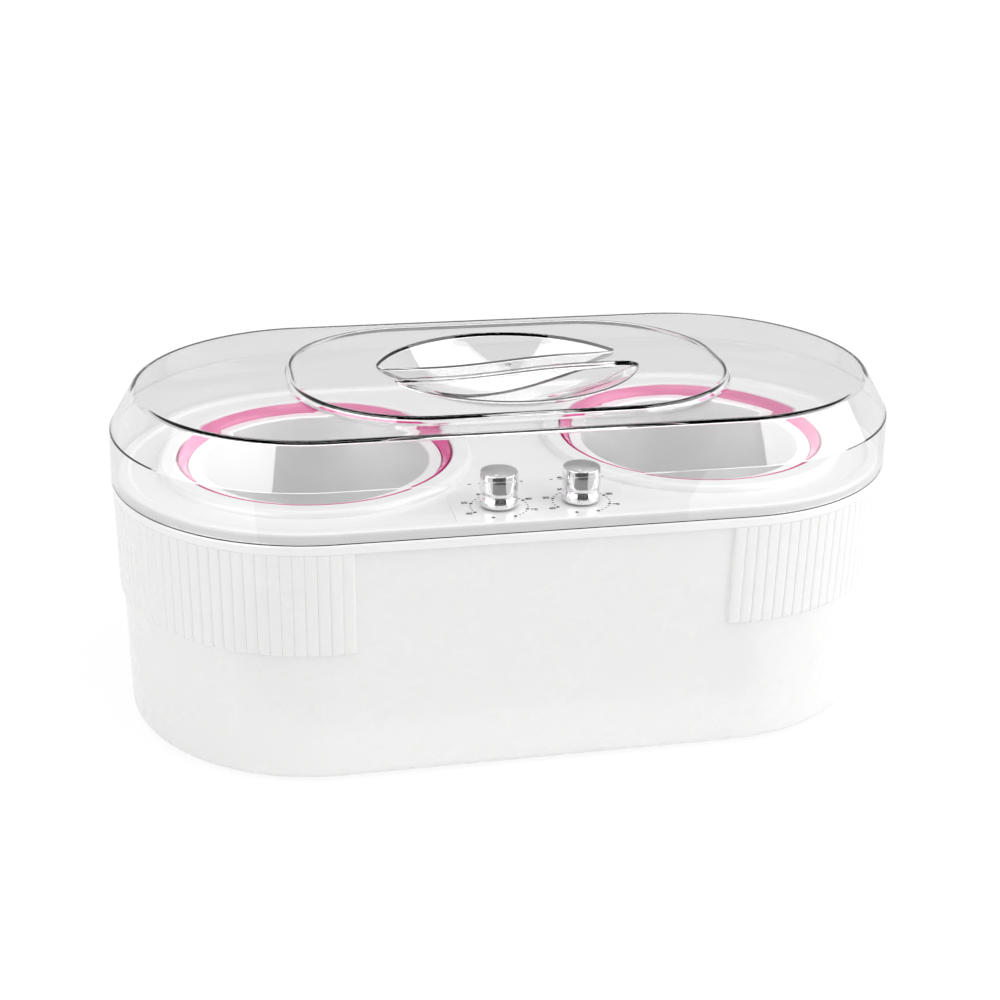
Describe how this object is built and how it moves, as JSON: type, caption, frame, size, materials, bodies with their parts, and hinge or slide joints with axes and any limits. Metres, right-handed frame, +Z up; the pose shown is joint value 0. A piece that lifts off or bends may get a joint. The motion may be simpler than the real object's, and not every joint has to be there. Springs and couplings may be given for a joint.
{
  "type": "double wax warmer",
  "caption": "Counter-top wax warmer: an obround ribbed casing with round heated wells side by side, lift-out pots, turning thermostat knobs and a clear lift-off lid.",
  "frame": {"origin": "on the ground under the middle of the casing, at the bottom of the rubber feet", "axes": "+X to the right along the long side, +Y to the back, +Z up; the knobs are at the front, towards -Y"},
  "size_m": [0.3726, 0.189, 0.1631],
  "materials": {
    "casing": "moulded, glossy off-white",
    "deck": "moulded, glossy off-white",
    "screws": "zinc plated",
    "inlet": "black moulding",
    "pins": "bright",
    "block": "natural",
    "inlet_lead": "insulation",
    "foot_rubber": "soft matte",
    "clear_lid": "clear, polished",
    "well_ring": "glossy pink",
    "heating_well": "spun",
    "heater": "mica band in a steel sleeve",
    "clamp": "pressed",
    "wax_pot": "satin, spun",
    "cutout": "phenolic",
    "thermostat": "phenolic",
    "shaft": "ground",
    "nut": "plated",
    "knob": "chromed side, satin top",
    "pointer": "inlaid dot",
    "lamp_lens": "tinted lens",
    "live_lead": "insulation",
    "neutral_lead": "insulation"
  },
  "bodies": {
    "warmer": {"outer_casing": "casing", "top_deck": "deck", "left_well_ring": "well_ring", "right_well_ring": "well_ring", "left_heating_well": "heating_well", "right_heating_well": "heating_well", "left_heater_band": "heater", "right_heater_band": "heater", "heater_band_screws": "screws", "left_well_clamp": "clamp", "right_well_clamp": "clamp", "clamp_screws": "screws", "left_thermal_cutout": "cutout", "right_thermal_cutout": "cutout", "left_thermostat": "thermostat", "right_thermostat": "thermostat", "left_thermostat_nut": "nut", "right_thermostat_nut": "nut", "left_pilot_lamp": "lamp_lens", "right_pilot_lamp": "lamp_lens", "power_inlet": "inlet", "inlet_pins": "pins", "terminal_block": "block", "terminal_screws": "screws", "inlet_leads": "inlet_lead", "left_leads": "live_lead", "right_leads": "neutral_lead", "casing_screws": "screws", "rubber_feet": "foot_rubber"},
    "left_pot": {"left_wax_pot": "wax_pot"},
    "right_pot": {"right_wax_pot": "wax_pot"},
    "left_knob": {"left_knob": "knob", "left_pointer_dot": "pointer", "left_thermostat_shaft": "shaft"},
    "right_knob": {"right_knob": "knob", "right_pointer_dot": "pointer", "right_thermostat_shaft": "shaft"},
    "lid": {"clear_lid": "clear_lid"}
  },
  "joints": [
    {"name": "lid_lift", "type": "slide", "parent": "warmer", "child": "lid", "axis": [0, 0, 1], "range_m": [0, 0.12]},
    {"name": "left_pot_lift", "type": "slide", "parent": "warmer", "child": "left_pot", "axis": [0, 0, 1], "range_m": [0, 0.025]},
    {"name": "right_pot_lift", "type": "slide", "parent": "warmer", "child": "right_pot", "axis": [0, 0, 1], "range_m": [0, 0.025]},
    {"name": "left_knob_turn", "type": "hinge", "parent": "warmer", "child": "left_knob", "pos_m": [-0.0185, -0.072, 0.13], "axis": [0, 0, -1], "range_deg": [0, 315]},
    {"name": "right_knob_turn", "type": "hinge", "parent": "warmer", "child": "right_knob", "pos_m": [0.0185, -0.072, 0.13], "axis": [0, 0, -1], "range_deg": [0, 315]}
  ]
}
